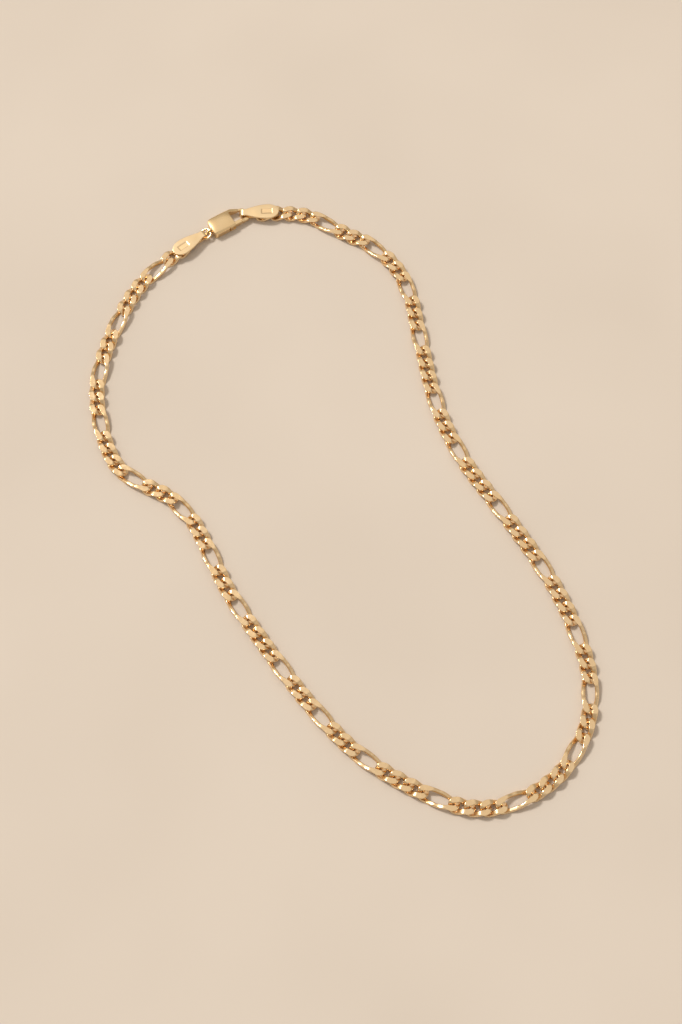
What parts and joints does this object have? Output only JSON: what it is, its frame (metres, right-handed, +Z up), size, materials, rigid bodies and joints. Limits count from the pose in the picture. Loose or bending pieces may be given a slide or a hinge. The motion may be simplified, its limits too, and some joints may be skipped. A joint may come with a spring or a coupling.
{
  "type": "figaro neck chain",
  "caption": "Flat ground figaro neck chain of short and long links, folded end tags, a jump ring and a spring lever clasp, fastened and lying in a loose loop.",
  "frame": {"origin": "middle of the laid loop's outer box, on the table that the chain lies on", "axes": "+Z up from the table, +Y along the loop's long way towards the clasp, +X to the right as seen in the picture"},
  "size_m": [0.1288, 0.1716, 0.0026],
  "materials": {
    "chain_gold": "polished",
    "tag_gold": "polished"
  },
  "bodies": {
    "necklace": {"chain_left": "chain_gold", "chain_right": "chain_gold", "end_tag_left": "tag_gold", "end_tag_right": "tag_gold", "jump_ring": "chain_gold", "clasp_body": "tag_gold", "lever_pin": "chain_gold"},
    "lever": {"clasp_lever": "chain_gold"}
  },
  "joints": [
    {"name": "lever_hinge", "type": "hinge", "parent": "necklace", "child": "lever", "pos_m": [-0.02833, 0.07924, 0.0013], "axis": [0, 0, 1], "range_deg": [0, 25], "stiffness_Nm_per_rad": 0.001}
  ]
}
